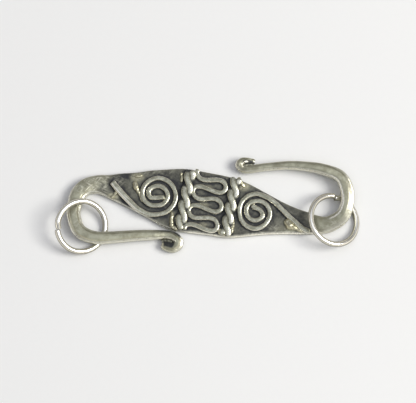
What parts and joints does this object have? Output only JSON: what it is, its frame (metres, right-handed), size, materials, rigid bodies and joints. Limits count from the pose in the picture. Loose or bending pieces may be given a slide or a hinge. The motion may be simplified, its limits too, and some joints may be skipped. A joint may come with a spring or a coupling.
{
  "type": "s-hook clasp with jump rings",
  "caption": "Flat tapered plate drawn out into two round-ended hooks, with soldered ropes, spirals and a serpentine wire, and a round wire ring on each hook.",
  "frame": {"origin": "on the flat back of the plate, at the middle of the clasp, level with the surface that it lies on", "axes": "+X runs from the left hook to the right hook, +Y across the plate towards the right hook's arm, +Z out of the ornamented face"},
  "size_m": [0.0445, 0.0143, 0.004],
  "materials": {
    "oxidised_silver": "oxidised silver, dark in the recesses and rubbed bright on the raised wire and the edges",
    "bright_silver": "bright drawn silver wire with a soft shine"
  },
  "bodies": {
    "root": {"s_hook": "oxidised_silver", "jump_ring_left": "bright_silver", "jump_ring_right": "bright_silver"}
  },
  "joints": []
}
